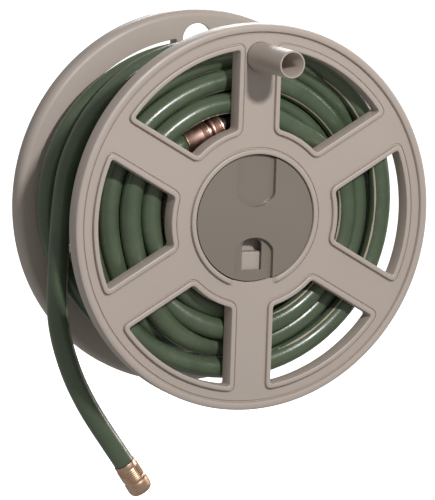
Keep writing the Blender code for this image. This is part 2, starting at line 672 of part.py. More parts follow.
def coupling_pocket(name, low_radius, high_radius, past_nut, past_ferrule):
    """A box cutter round the elbow's end and the coupling, lying along the coupling."""
    seal, along = coupling_frame()
    x, z = polar(1, COUPLING_ANGLE)
    outward = Vector((x, 0, z))
    start, end = -0.040, FERRULE_END + past_ferrule
    first, last = FRONT_FACE + 0.010, FRONT_FACE + COUPLING_DEPTH + NUT_RADIUS + past_nut
    cutter = add_piece(name, box_mesh(name, (end - start, last - first, high_radius - low_radius)), "steel")
    rise = (low_radius + high_radius) / 2 - COUPLING_ORBIT
    cutter.location = seal + along * (start + end) / 2 + outward * rise
    cutter.location.y = (first + last) / 2
    cutter.rotation_quaternion = Vector((0, 0, 1)).rotation_difference(outward)
    return cutter


def build_drum(spool):
    inner = DRUM_RADIUS - DRUM_WALL
    start = FRONT_FACE + FLANGE_DEPTH + GAP
    end = BACK_FACE - FLANGE_DEPTH - GAP
    barrel = turned("drum", ring_profile(inner, DRUM_RADIUS, start, end), HUB_STEPS)
    return add_piece("drum", barrel, "taupe", parent=spool)


def build_coil(spool):
    """The wound hose as the outer shape of its coil."""
    inner = DRUM_RADIUS + GAP
    bend = 0.008
    start, end = SPOOL_MIDDLE - COIL_WIDTH / 2, SPOOL_MIDDLE + COIL_WIDTH / 2
    profile = [(inner, start + bend), (inner + bend, start), (COIL_OUTER_RADIUS - bend, start),
               (COIL_OUTER_RADIUS, start + bend), (COIL_OUTER_RADIUS, end - bend),
               (COIL_OUTER_RADIUS - bend, end), (inner + bend, end), (inner, end - bend)]
    return add_piece("hose_coil", turned("hose_coil", profile, HUB_STEPS), "green", parent=spool)


def tail_points():
    route = [Vector((x, FRONT_FACE + TAIL_DEPTH, z)) for x, z in TAIL_ROUTE]
    return smooth_path(route, 2)


def build_tail():
    """The hose's free end and the brass male coupling on it."""
    points = tail_points()
    curve = bpy.data.curves.new("hose_tail", "CURVE")
    curve.dimensions = "3D"
    curve.bevel_depth = HOSE_RADIUS
    curve.bevel_resolution = 3
    curve.use_fill_caps = True
    line = curve.splines.new("POLY")
    line.points.add(len(points) - 1)
    for spot, point in zip(line.points, points):
        spot.co = (*point, 1)
    curve.materials.append(finish_of("hose_tail", "green"))
    bpy.context.scene.collection.objects.link(bpy.data.objects.new("hose_tail", curve))

    end = points[-1]
    along = (points[-1] - points[-2]).normalized()
    ferrule = ring_profile(0.0062, 0.0120, GAP, FERRULE_LENGTH)
    add_piece("male_ferrule", turned("male_ferrule", ferrule, 24), "brass", end, along)
    start = FERRULE_LENGTH + GAP
    stop = start + THREAD_LENGTH
    nipple = [(0.0070, start), (0.0118, start), (0.0118, start + 0.002), (0.0128, start + 0.003),
              (0.0128, stop - 0.001), (0.0118, stop), (0.0070, stop)]
    add_piece("male_nipple", turned("male_nipple", nipple, 24), "brass", end, along)


def build_handle(spool, handle_axis):
    """The crank handle: a hollow, tapered grip that turns in a bushing in the front flange's spoke."""
    place = (0, FRONT_FACE, HANDLE_ORBIT)
    neck = 0.0112
    bushing = [(neck + GAP, WEB_FACE), (HANDLE_HOLE_RADIUS - GAP, WEB_FACE),
               (HANDLE_HOLE_RADIUS - GAP, WEB_BACK + GAP), (0.0180, WEB_BACK + GAP),
               (0.0180, WEB_BACK + 0.0025), (neck + GAP, WEB_BACK + 0.0025)]
    add_piece("handle_bushing", turned("handle_bushing", bushing, 24), "taupe", place, parent=spool)
    shoulder = WEB_FACE - GAP
    tip = WEB_FACE - GRIP_LENGTH
    neck_end = WEB_BACK + 0.0080
    grip = [(0, -0.002), (GRIP_BORE, -0.002), (GRIP_BORE, tip), (GRIP_RADIUS - 0.0005, tip),
            (GRIP_RADIUS, tip + 0.0005), (GRIP_ROOT_RADIUS, shoulder), (neck, shoulder),
            (neck, neck_end), (0, neck_end)]
    add_piece("handle_grip", turned("handle_grip", grip, 24), "taupe", place, parent=handle_axis)
    ring_start = WEB_BACK + 0.0028
    ring = ring_profile(neck + GAP, 0.0165, ring_start, ring_start + 0.0020)
    add_piece("handle_retainer", turned("handle_retainer", ring, 24), "steel", place, parent=handle_axis)


def build_catch(spool):
    """The block on the cup's floor that shows through the cap's catch hole."""
    depth = CUP_FLOOR - GAP - CATCH_FRONT
    size = (0.026, depth, 0.022)
    centre = (0, FRONT_FACE + CATCH_FRONT + depth / 2, CATCH_CENTRE_Z)
    soften(add_piece("cap_catch", box_mesh("cap_catch", size), "taupe", centre, parent=spool), 0.001)


def build_spool():
    spool = add_axis("spool_axis", (0, SPOOL_MIDDLE, 0))
    handle_axis = add_axis("handle_axis", (0, FRONT_FACE, HANDLE_ORBIT))
    cap_axis = add_axis("cap_axis", (0, FRONT_FACE, 0))
    nut_axis = add_axis("nut_axis", coupling_frame()[0])
    for axis in (handle_axis, cap_axis, nut_axis):
        axis.parent = spool
        axis.matrix_parent_inverse = spool.matrix_world.inverted()
    bpy.context.view_layer.update()

    inwards, outwards = (0, 1, 0), (0, -1, 0)
    add_piece("front_flange", front_flange_mesh(), "taupe", (0, FRONT_FACE, 0), inwards, spool)
    add_piece("back_flange", back_flange_mesh(), "taupe", (0, BACK_FACE, 0), outwards, spool)
    front_hub = build_hub("front", FRONT_FACE, inwards, spool)
    build_hub("rear", BACK_FACE, outwards, spool)
    drum = build_drum(spool)
    coil = build_coil(spool)
    build_water_path(spool, nut_axis)
    drum_slot = coupling_pocket("drum_slot", 0.072, 0.100, 0.005, 0.004)
    coil_pocket = coupling_pocket("coil_pocket", 0.080, 0.1125, 0.002, GAP)
    cut(drum, drum_slot)
    cut(front_hub, drum_slot)
    cut(coil, coil_pocket)
    build_handle(spool, handle_axis)
    build_catch(spool)
    add_piece("hub_cap", hub_cap_mesh(), "dark_taupe", (0, FRONT_FACE, 0), inwards, cap_axis)


clear_scene()
build_bracket()
build_spool()
build_tail()
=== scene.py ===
"""Wall-mounted hose reel with a wound green hose: the visual model and its studio."""

import math

import bmesh
import bpy
from mathutils import Matrix, Vector
from mathutils.geometry import delaunay_2d_cdt


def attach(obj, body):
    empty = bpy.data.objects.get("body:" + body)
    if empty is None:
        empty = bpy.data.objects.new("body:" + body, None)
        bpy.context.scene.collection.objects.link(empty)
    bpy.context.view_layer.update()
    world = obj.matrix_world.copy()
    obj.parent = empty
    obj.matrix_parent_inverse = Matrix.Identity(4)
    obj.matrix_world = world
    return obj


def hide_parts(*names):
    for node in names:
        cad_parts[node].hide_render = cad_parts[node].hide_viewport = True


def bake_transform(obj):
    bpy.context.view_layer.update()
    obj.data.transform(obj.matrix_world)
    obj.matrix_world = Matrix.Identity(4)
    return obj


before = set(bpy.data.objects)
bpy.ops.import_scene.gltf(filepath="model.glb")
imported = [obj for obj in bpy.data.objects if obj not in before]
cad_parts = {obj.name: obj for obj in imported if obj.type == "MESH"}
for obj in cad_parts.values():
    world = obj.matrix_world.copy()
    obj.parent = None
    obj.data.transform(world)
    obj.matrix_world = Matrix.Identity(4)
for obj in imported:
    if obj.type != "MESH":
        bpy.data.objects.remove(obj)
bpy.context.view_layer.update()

# Driving sizes, the same as the CAD part's.
FLANGE_RADIUS = 0.200
FLANGE_DEPTH = 0.019
SPOKES = 6
SPOKE_HALF_WIDTH = 0.0235
WINDOW_OUTER = 0.1755
BACK_WINDOW_OUTER = 0.171
WINDOW_INNER = 0.0945
WEB_FACE = 0.003
WEB_BACK = 0.007
WEB_THICKNESS = WEB_BACK - WEB_FACE
LIP_WIDTH = 0.005
GROOVE = 0.0013
BACK_GROOVE = 0.0002
RIM_BEAD = 0.008
CUP_RADIUS = 0.0668
CUP_FLOOR = 0.024
CUP_BACK = 0.028
BACK_FACE = -0.046
FRONT_FACE = -0.219
DRUM_RADIUS = 0.088
BUSH_RADIUS = 0.015
SCREW_CIRCLE = 0.045
SCREW_ANGLES = (90, 210, 330)
SCREW_HOLE = 0.0019
HANDLE_ORBIT = 0.1665
HANDLE_HOLE = 0.015
BACK_HOLE_ORBIT = 0.169
BACK_HOLE = 0.0165
GRIP_RADIUS = 0.014
GRIP_ROOT = 0.0152
GRIP_BORE = 0.012
GRIP_TIP = -0.071
NECK = 0.0112
NECK_END = 0.015
GAP = 0.0003
CAP_RADIUS = 0.0655
CAP_FACE = 0.0015
POCKET_FLOOR = 0.007
CAP_BACK = 0.0095
POCKET_HALF_WIDTH = 0.022
TOP_POCKET_END = 0.012
BOTTOM_POCKET_END = -0.0195
POCKET_END_RISE = 0.0115
POCKET_CORNER = 0.004
CATCH_HALF_WIDTH = 0.0112
CATCH_BOTTOM = -0.054
CATCH_TOP = -0.027
CATCH_FRONT = 0.012
CATCH_CENTRE_Z = -0.047

PLATE_WIDTH = 0.150
PLATE_HEIGHT = 0.210
PLATE_THICKNESS = 0.006
PLATE_CORNER = 0.018
WALL_SCREW_X = 0.055
WALL_SCREW_Z = 0.085
WALL_SCREW_HOLE = 0.0038
WASHER_RADIUS = 0.009
WASHER = 0.0015
BOSS_RADIUS = 0.034
BOSS_FOOT = 0.037
BOSS_FOOT_DEPTH = 0.034
BOSS_DEPTH = 0.0656
SOCKET_DEPTH = 0.012
SOCKET_RADIUS = 0.0123
RIB_REACH = 0.062
RIB_HALF_WIDTH = 0.004
INLET_Y = -0.026

HOSE_DIAMETER = 0.022
HOSE_RADIUS = HOSE_DIAMETER / 2
COUPLING_ANGLE = 112
COUPLING_ORBIT = 0.0945
COUPLING_DEPTH = 0.038
SEAL_OFFSET = -0.0066
SWIVEL_Y = FRONT_FACE + 0.0448
SWIVEL_RADIUS = 0.024
ELBOW_ANGLE = 92
ELBOW_RADIUS = 0.0085
TAIL_DEPTH = 0.109
TAIL_ROUTE = (
    (-0.1697, 0.000),
    (-0.1722, -0.060),
    (-0.1708, -0.115),
    (-0.1575, -0.164),
    (-0.1340, -0.211),
    (-0.0915, -0.2725),
)

# The photograph's view.
VIEW_AZIMUTH = -26.30
VIEW_ELEVATION = 8.67
VIEW_ROLL = 1.97
VIEW_DISTANCE = 3.6
VIEW_RIGHT = -0.0394
VIEW_UP = -0.0318
FOCAL_LENGTH = 253.1


def polar(radius, degrees):
    return (radius * math.cos(math.radians(degrees)), radius * math.sin(math.radians(degrees)))


def mix(a, b, t):
    return a + (b - a) * t


def ease(t):
    t = min(max(t, 0), 1)
    return t * t * (3 - 2 * t)


def link(obj):
    bpy.context.scene.collection.objects.link(obj)
    return obj


# Camera.


def make_camera():
    azimuth, elevation = math.radians(VIEW_AZIMUTH), math.radians(VIEW_ELEVATION)
    back = Vector((math.sin(azimuth) * math.cos(elevation), -math.cos(azimuth) * math.cos(elevation),
                   math.sin(elevation)))
    level = Vector((0, 0, 1)).cross(back).normalized()
    rise = back.cross(level)
    roll = math.radians(VIEW_ROLL)
    right = level * math.cos(roll) + rise * math.sin(roll)
    up = rise * math.cos(roll) - level * math.sin(roll)
    reel_face = Vector((0, FRONT_FACE, 0))
    place = reel_face + back * VIEW_DISTANCE
    back = (place - (reel_face + right * VIEW_RIGHT + up * VIEW_UP)).normalized()
    right = (right - back * right.dot(back)).normalized()
    up = back.cross(right)
    camera = link(bpy.data.objects.new("camera", bpy.data.cameras.new("camera")))
    camera.data.lens = FOCAL_LENGTH
    camera.matrix_world = Matrix.Translation(place) @ Matrix((right, up, back)).transposed().to_4x4()
    bpy.context.scene.camera = camera


make_camera()


# Hose.

# Angles are in degrees round the spool's axis, from the side (+X) over the top, and grow along the hose.
TURN = 90
STEP = 360 / TURN
PITCH = 0.02248
HOSE_START = 131.5
LEAD_END = 220
CROSS_START, CROSS_END = 200, 260
LOOSE_SWEEP = 1260
TAIL_STEPS = 28

# Each regular layer's first depth, the way its rings follow each other and how many there are.
LAYERS = ((0.064, 1, 4), (0.1427, -1, 6), (0.0415, 1, 5))

# The room that the hose keeps from its coupling's middle, and how far before and after it.
COUPLING_ROOM = 0.0255
COUPLING_BEFORE, COUPLING_AFTER = 26, 21


def waypoint(table, angle):
    """A value eased between the (angle, value) pairs of a table."""
    for (a, first), (b, last) in zip(table, table[1:]):
        if angle <= b:
            return mix(first, last, ease((angle - a) / (b - a)))
    return table[-1][1]


def winding_depths():
    """(angle, depth) pairs of the wound hose from its coupling to where its end hangs down. A ring
    keeps its depth for most of a turn, then crosses to the next one's place."""
    table = [(HOSE_START, COUPLING_DEPTH), (165, 0.0305), (LEAD_END, 0.0305), (320, 0.0415), (380, 0.0415),
             (440, 0.064)]
    depths = [first + way * PITCH * i for first, way, rings in LAYERS for i in range(rings)]
    for turn, (here, there) in enumerate(zip(depths, depths[1:]), 1):
        table += [(360 * turn + CROSS_START, here), (360 * turn + CROSS_END, there)]
    loose = 360 * len(depths)
    return table + [(loose + angle, depth) for angle, depth in (
        (200, 0.1315), (260, 0.1427), (430, 0.1427), (500, 0.135), (545, 0.136), (590, 0.110), (675, 0.056),
        (800, 0.053), (900, 0.050), (990, 0.034), (1080, 0.0303), (1105, 0.033), (1195, 0.109),
        (LOOSE_SWEEP, 0.109))]


def loose_radii(start):
    """(angle, radius) pairs below which the outermost, looser turns don't go."""
    return [(start, 0)] + [(start + angle, radius) for angle, radius in (
        (400, 0.146), (450, 0.152), (478, 0.163), (500, 0.170), (540, 0.1775), (560, 0.173), (590, 0.159),
        (1080, 0.158), (1125, 0.165), (1190, 0.166), (LOOSE_SWEEP, 0.1697))]


def lead_in_rise(angle):
    """How far the hose rises off the drum between its coupling and the first ring."""
    t = (angle - HOSE_START) / (LEAD_END - HOSE_START)
    return 0.0007 * (1 - ease(t)) + 0.0548 * t * (1 - t) ** 2 if t < 1 else 0


def radius_over_coupling(angle, depth):
    """The least radius at which the hose clears its coupling, or 0 away from it."""
    aside = (angle + 180 - COUPLING_ANGLE) % 360 - 180
    across = abs(depth - COUPLING_DEPTH)
    if across >= COUPLING_ROOM or not -COUPLING_BEFORE < aside < COUPLING_AFTER:
        return 0
    return COUPLING_ORBIT / math.cos(math.radians(aside)) + math.sqrt(COUPLING_ROOM ** 2 - across ** 2)


def wind_hose():
    """Lists of the wound hose's angles, depths and radii. Each turn rests on the turns below it."""
    table = winding_depths()
    end = table[-1][0]
    loose = loose_radii(end - LOOSE_SWEEP)
    count = round((end - HOSE_START) / STEP)
    angles = [mix(HOSE_START, end, i / count) for i in range(count + 1)]
    depths = [waypoint(table, angle) for angle in angles]
    radii = []
    for i, (angle, depth) in enumerate(zip(angles, depths)):
        radius = max(DRUM_RADIUS + HOSE_RADIUS + 0.0005, waypoint(loose, angle)) + lead_in_rise(angle)
        for j in range(i - TURN, -1, -TURN):
            across = abs(depth - depths[j])
            if across < HOSE_DIAMETER:
                radius = max(radius, radii[j] + math.sqrt(HOSE_DIAMETER ** 2 - across ** 2))
        if i > TURN / 2:
            radius = max(radius, radius_over_coupling(angle, depth))
        radii.append(radius)
    for _ in range(2):
        radii = smoothed(radii, 4)
    return angles, depths, radii


def smoothed(values, reach):
    """A moving average over some neighbours, with the ends kept."""
    found = []
    for i in range(len(values)):
        near = min(reach, i, len(values) - 1 - i)
        found.append(sum(values[i - near:i + near + 1]) / (2 * near + 1))
    return found


def coil_point(angle, depth, radius):
    x, z = polar(radius, angle)
    return Vector((x, FRONT_FACE + depth, z))


def smooth_path(points, steps):
    """Points along a Catmull-Rom curve through the given ones."""
    padded = [2 * points[0] - points[1], *points, 2 * points[-1] - points[-2]]
    found = []
    for a, b, c, d in zip(padded, padded[1:], padded[2:], padded[3:]):
        for i in range(steps):
            t = i / steps
            found.append(0.5 * (2 * b + (c - a) * t + (2 * a - 5 * b + 4 * c - d) * t * t
                                + (3 * b - a - 3 * c + d) * t ** 3))
    found.append(points[-1])
    return found


def hose_mesh(name, path, stripe_angles, radius=HOSE_RADIUS, sides=20):
    """A round tube along a path. The attribute "skin" holds where a point lies round the hose, counted
    from the stripe (cosine and sine), and how far along it."""
    bm = bmesh.new()
    skin = bm.verts.layers.float_vector.new("skin")
    rings = []
    run = 0
    for i, centre in enumerate(path):
        along = (path[min(i + 1, len(path) - 1)] - path[max(i - 1, 0)]).normalized()
        front = Vector((0, -1, 0))
        front = (front - along * front.dot(along)).normalized()
        out = along.cross(front)
        run += (centre - path[i - 1]).length if i else 0
        ring = []
        for j in range(sides):
            turn = 2 * math.pi * j / sides
            vert = bm.verts.new(centre + (out * math.cos(turn) + front * math.sin(turn)) * radius)
            aside = turn - math.radians(stripe_angles[i])
            vert[skin] = (math.cos(aside), math.sin(aside), run)
            ring.append(vert)
        rings.append(ring)
    for here, there in zip(rings, rings[1:]):
        for j in range(sides):
            k = (j + 1) % sides
            bm.faces.new((here[j], there[j], there[k], here[k]))
    bm.faces.new(rings[0])
    bm.faces.new(rings[-1][::-1])
    bmesh.ops.recalc_face_normals(bm, faces=bm.faces)
    mesh = bpy.data.meshes.new(name)
    bm.to_mesh(mesh)
    bm.free()
    mesh.shade_smooth()
    return link(bpy.data.objects.new(name, mesh))


ANGLES, DEPTHS, RADII = wind_hose()
COIL_PATH = [coil_point(*spot) for spot in zip(ANGLES, DEPTHS, RADII)]
SPLIT = len(ANGLES) - 1 - TAIL_STEPS
WOUND_PATH = COIL_PATH[:SPLIT + 1]
HANGING = [Vector((x, FRONT_FACE + TAIL_DEPTH, z)) for x, z in TAIL_ROUTE]
TAIL_PATH = smooth_path(COIL_PATH[SPLIT:-1:4] + HANGING, 60)

# The stripe's place round the hose, in degrees from its outer side.
coil_stripe = [145 + 60 * max(0, -math.cos(math.radians(a - 25))) for a in ANGLES[:SPLIT + 1]]
tail_stripe = [mix(145, 135, ease(i / len(TAIL_PATH) * 2)) for i in range(len(TAIL_PATH))]
hose_coil = hose_mesh("hose_wound", WOUND_PATH, coil_stripe)
hose_tail = hose_mesh("hose_end", TAIL_PATH, tail_stripe)


# Shapes.


def arc(radius, start, end, steps, centre=(0, 0)):
    turns = [mix(start, end, i / steps) for i in range(steps + 1)]
    return [(centre[0] + polar(radius, a)[0], centre[1] + polar(radius, a)[1]) for a in turns]


def circle(radius, count, centre=(0, 0)):
    return arc(radius, 0, 360, count, centre)[:-1]


def corner_curve(before, corner, after, radius, steps, most=math.inf):
    """Points of a curve that rounds a corner off. It starts and ends a radius away from the corner, and at
    most the given share of the way to its neighbours."""
    ends = []
    for other in (before, after):
        step = (other[0] - corner[0], other[1] - corner[1])
        share = min(radius / math.hypot(*step), most)
        ends.append((corner[0] + step[0] * share, corner[1] + step[1] * share))
    first, last = ends
    return [tuple(first[k] * (1 - t) ** 2 + 2 * corner[k] * t * (1 - t) + last[k] * t * t for k in (0, 1))
            for t in (i / steps for i in range(steps + 1))]


def rounded(corners, radii, steps=5):
    """A closed outline whose corners are rounded, each with its own radius (0 leaves it as it is)."""
    outline = []
    for i, (corner, radius) in enumerate(zip(corners, radii)):
        if radius == 0:
            outline.append(corner)
        else:
            outline += corner_curve(corners[i - 1], corner, corners[(i + 1) % len(corners)], radius, steps)
    return outline


def inside(point, outline):
    found = False
    for (ax, az), (bx, bz) in zip(outline, outline[1:] + outline[:1]):
        if (az > point[1]) != (bz > point[1]):
            found ^= point[0] < ax + (point[1] - az) * (bx - ax) / (bz - az)
    return found


def triangles_between(outlines):
    """Triangles that fill an outline and leave the outlines inside it open."""
    points = [point for outline in outlines for point in outline]
    edges = []
    for outline in outlines:
        first = len(edges)
        edges += [(first + i, first + (i + 1) % len(outline)) for i in range(len(outline))]
    corners = [Vector(point) for point in points]
    kept = []
    for triangle in delaunay_2d_cdt(corners, edges, [], 0, 1e-8)[2]:
        centre = sum((corners[i] for i in triangle), Vector((0, 0))) / 3
        if sum(inside(centre, outline) for outline in outlines) % 2:
            kept.append([points[i] for i in triangle])
    return kept


def layered(name, skins, faces, smooth_angle=32):
    """A mesh made of skins, each a run of (outline, depth) joined one to the next, and of flat faces,
    each a depth and the outlines that bound it."""
    bm = bmesh.new()
    made = {}

    def vertex(point, depth):
        if (point, depth) not in made:
            made[point, depth] = bm.verts.new((point[0], depth, point[1]))
        return made[point, depth]

    for run in skins:
        for (here, first), (there, last) in zip(run, run[1:]):
            for j in range(len(here)):
                k = (j + 1) % len(here)
                bm.faces.new((vertex(here[j], first), vertex(here[k], first), vertex(there[k], last),
                              vertex(there[j], last)))
    for depth, outlines in faces:
        for triangle in triangles_between(outlines):
            bm.faces.new([vertex(point, depth) for point in triangle])
    bmesh.ops.recalc_face_normals(bm, faces=bm.faces)
    return finished(name, bm, smooth_angle)


def finished(name, bm, smooth_angle=32):
    mesh = bpy.data.meshes.new(name)
    bm.to_mesh(mesh)
    bm.free()
    mesh.shade_smooth()
    mesh.set_sharp_from_angle(angle=math.radians(smooth_angle))
    return mesh


def turned(name, profile, steps=64, smooth_angle=40):
    """A mesh turned about the Y axis from a run of (radius, depth) points, closed on itself unless it
    starts and ends on the axis."""
    bm = bmesh.new()
    corners = [bm.verts.new((radius, depth, 0)) for radius, depth in profile]
    edges = [bm.edges.new(pair) for pair in zip(corners, corners[1:])]
    if profile[0][0] > 0:
        edges.append(bm.edges.new((corners[-1], corners[0])))
    bmesh.ops.spin(bm, geom=corners + edges, cent=(0, 0, 0), axis=(0, 1, 0), angle=2 * math.pi,
                   steps=steps, use_merge=True)
    bmesh.ops.remove_doubles(bm, verts=bm.verts, dist=1e-6)
    bmesh.ops.recalc_face_normals(bm, faces=bm.faces)
    return finished(name, bm, smooth_angle)


def softened(profile, radius):
    """A closed (radius, depth) run whose corners are rounded."""
    found = []
    for i, corner in enumerate(profile):
        found += corner_curve(profile[i - 1], corner, profile[(i + 1) % len(profile)], radius, 3, 0.49)
    return found


def place(name, mesh, material, location, direction):
    """Links a piece whose own +Y axis is turned to the given direction, its +Z axis staying uppermost."""
    piece = link(bpy.data.objects.new(name, mesh))
    if not mesh.materials:
        mesh.materials.append(material)
    piece.location = location
    piece.rotation_mode = "QUATERNION"
    piece.rotation_quaternion = Vector(direction).to_track_quat("Y", "Z")
    return piece


# Materials.


class Shader:
    """A Principled material with a few helpers for its procedural inputs."""

    def __init__(self, name, roughness, metallic=0.0):
        self.material = bpy.data.materials.new(name)
        self.material.use_nodes = True
        self.tree = self.material.node_tree
        self.principled = self.tree.nodes["Principled BSDF"]
        self.principled.inputs["Roughness"].default_value = roughness
        self.principled.inputs["Metallic"].default_value = metallic
        self.place = self.tree.nodes.new("ShaderNodeTexCoord").outputs["Object"]

    def node(self, kind, **settings):
        made = self.tree.nodes.new("ShaderNode" + kind)
        for key, value in settings.items():
            setattr(made, key, value)
        return made

    def set(self, socket, value):
        if isinstance(value, bpy.types.NodeSocket):
            self.tree.links.new(value, socket)
        else:
            socket.default_value = value

    def noise(self, scale, detail=3.0, stretch=(1, 1, 1), rough=0.5):
        spread = self.node("Mapping")
        self.set(spread.inputs["Vector"], self.place)
        spread.inputs["Scale"].default_value = stretch
        made = self.node("TexNoise")
        self.set(made.inputs["Vector"], spread.outputs["Vector"])
        made.inputs["Scale"].default_value = scale
        made.inputs["Detail"].default_value = detail
        made.inputs["Roughness"].default_value = rough
        return made.outputs["Fac"]

    def span(self, value, low, high, to_low=0.0, to_high=1.0):
        made = self.node("MapRange")
        made.clamp = True
        self.set(made.inputs["Value"], value)
        for name, number in (("From Min", low), ("From Max", high), ("To Min", to_low), ("To Max", to_high)):
            made.inputs[name].default_value = number
        return made.outputs["Result"]

    def math(self, kind, a, b=0.0):
        made = self.node("Math", operation=kind)
        self.set(made.inputs[0], a)
        self.set(made.inputs[1], b)
        return made.outputs[0]

    def blend(self, share, a, b):
        made = self.node("Mix", data_type="RGBA")
        self.set(made.inputs["Factor"], share)
        self.set(made.inputs["A"], a)
        self.set(made.inputs["B"], b)
        return made.outputs["Result"]

    def bump(self, height, strength, distance):
        made = self.node("Bump")
        made.inputs["Strength"].default_value = strength
        made.inputs["Distance"].default_value = distance
        self.set(made.inputs["Height"], height)
        self.set(self.principled.inputs["Normal"], made.outputs["Normal"])

    def colour(self, value):
        self.set(self.principled.inputs["Base Color"], value)

    def roughness(self, value):
        self.set(self.principled.inputs["Roughness"], value)


def moulded(name, colour, shade, roughness, grain=0.05):
    """Moulded plastic: faint flow mottling, a fine grain and slightly uneven gloss."""
    shader = Shader(name, roughness)
    cloud = shader.span(shader.noise(9, 4), 0.35, 0.65)
    speck = shader.span(shader.noise(260, 2), 0.3, 0.7, 0.0, 0.35)
    tone = shader.blend(shader.math("MULTIPLY", cloud, 0.55), (*colour, 1), (*shade, 1))
    shader.colour(shader.blend(shader.math("MULTIPLY", speck, 0.4), tone, (*shade, 1)))
    shader.roughness(shader.span(shader.noise(35, 3), 0.3, 0.7, roughness - 0.05, roughness + 0.07))
    shader.bump(shader.noise(900, 2), grain, 0.0004)
    return shader.material


def hose_skin(name):
    """Glossy green vinyl with one thin cream stripe, fine mesh relief and faint dust."""
    shader = Shader(name, 0.3)
    skin = shader.node("Attribute", attribute_name="skin")
    parts = shader.node("SeparateXYZ")
    shader.set(parts.inputs["Vector"], skin.outputs["Vector"])
    waver = shader.span(shader.noise(60, 2), 0.3, 0.7, -0.004, 0.004)
    stripe = shader.span(shader.math("ADD", parts.outputs["X"], waver), 0.984, 0.989)
    cloud = shader.span(shader.noise(22, 4), 0.35, 0.65)
    green = shader.blend(cloud, (0.072, 0.100, 0.057, 1), (0.094, 0.125, 0.073, 1))
    dust = shader.span(shader.noise(140, 3), 0.58, 0.75, 0.0, 0.16)
    green = shader.blend(dust, green, (0.20, 0.22, 0.16, 1))
    shader.colour(shader.blend(stripe, green, (0.58, 0.50, 0.40, 1)))
    shader.roughness(shader.span(shader.noise(70, 3), 0.3, 0.7, 0.24, 0.40))
    grain = shader.noise(420, 2)
    shader.bump(grain, 0.22, 0.0006)
    shader.principled.inputs["Coat Weight"].default_value = 0.25
    shader.principled.inputs["Coat Roughness"].default_value = 0.18
    return shader.material


def metal(name, colour, shade, roughness, turning=(1, 60, 1), relief=0.08):
    """Turned metal: fine rings from the lathe and patches of tarnish."""
    shader = Shader(name, roughness, 1.0)
    lines = shader.noise(30, 3, turning)
    patch = shader.span(shader.noise(120, 4), 0.4, 0.68)
    tone = shader.blend(shader.math("MULTIPLY", patch, 0.6), (*colour, 1), (*shade, 1))
    shader.colour(shader.blend(shader.span(lines, 0.35, 0.7, 0.0, 0.35), tone, (*shade, 1)))
    shader.roughness(shader.span(patch, 0, 1, roughness - 0.06, roughness + 0.12))
    shader.bump(lines, relief, 0.0004)
    return shader.material


def soft_rubber(name):
    shader = Shader(name, 0.75)
    shader.colour(shader.blend(shader.span(shader.noise(300, 3), 0.4, 0.7), (0.022, 0.022, 0.022, 1),
                               (0.05, 0.05, 0.05, 1)))
    shader.bump(shader.noise(800, 2), 0.15, 0.0003)
    return shader.material


def glowing_white(name):
    """White paper that stays white wherever the light falls."""
    shader = Shader(name, 0.9)
    shader.colour((0.9, 0.9, 0.9, 1))
    shader.principled.inputs["Emission Color"].default_value = (1, 1, 1, 1)
    shader.principled.inputs["Emission Strength"].default_value = 1.0
    return shader.material


TAUPE = moulded("taupe_plastic", (0.470, 0.400, 0.350), (0.430, 0.365, 0.318), 0.42)
DARK_TAUPE = moulded("dark_taupe_plastic", (0.235, 0.200, 0.168), (0.213, 0.180, 0.150), 0.26, 0.02)
BLACK = moulded("black_plastic", (0.020, 0.021, 0.020), (0.032, 0.033, 0.032), 0.42)
NYLON = moulded("nylon", (0.70, 0.68, 0.63), (0.62, 0.60, 0.55), 0.45)
HOSE = hose_skin("hose_vinyl")
BRASS = metal("brass", (0.76, 0.53, 0.38), (0.47, 0.30, 0.19), 0.38)
COPPER = metal("copper_brass", (0.74, 0.50, 0.42), (0.46, 0.27, 0.21), 0.40)
STEEL = metal("zinc_steel", (0.62, 0.62, 0.64), (0.42, 0.42, 0.44), 0.34, (40, 40, 40), 0.03)
RUBBER = soft_rubber("seal_rubber")
FLOOR = glowing_white("floor_paper")

hose_coil.data.materials.append(HOSE)
hose_tail.data.materials.append(HOSE)
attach(hose_coil, "spool")
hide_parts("hose_coil")
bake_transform(hose_tail)
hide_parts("hose_tail")


# Flanges.

FLANGE_STEPS = 180
WINDOW_CORNER = 0.0035
EDGE = 0.0006


def window(centre_angle, outer_radius, grow, corner=None):
    """A window's outline, grown outwards by the given width. Its sides run along the spokes, and its
    corners grow with it unless their radius is given."""
    half_gap = SPOKE_HALF_WIDTH - grow
    outer, inner = outer_radius + grow, WINDOW_INNER - grow
    half_sector = 180 / SPOKES
    outer_half = half_sector - math.degrees(math.asin(half_gap / outer))
    inner_half = half_sector - math.degrees(math.asin(half_gap / inner))
    if corner is None:
        corner = WINDOW_CORNER + 0.9 * grow
    points, radii = [], []
    for run in (arc(outer, centre_angle - outer_half, centre_angle + outer_half, 20),
                arc(inner, centre_angle + inner_half, centre_angle - inner_half, 12)):
        points += [run[0], *run[2:-2], run[-1]]
        radii += [corner, *[0] * (len(run) - 4), corner]
    return rounded(points, radii)


# A lip's section, as (share of its width from the opening, depth).
LIP_SECTION = ((0.0, 0.0012), (0.06, 0.0005), (0.18, 0.0001), (0.32, 0.0), (0.68, 0.0), (0.82, 0.0001),
               (0.94, 0.0005), (1.0, 0.0012))


def lip_run(outline_at, web_face, groove):
    """The (outline, depth) run of a raised lip and the groove round it, from its opening to the web."""
    run = [(outline_at(share * LIP_WIDTH), depth) for share, depth in LIP_SECTION]
    bottom = web_face + groove
    return run + [(outline_at((1 + share * groove / GROOVE) * LIP_WIDTH), depth)
                  for share, depth in ((0.01, bottom), (0.36, bottom), (0.42, web_face))]


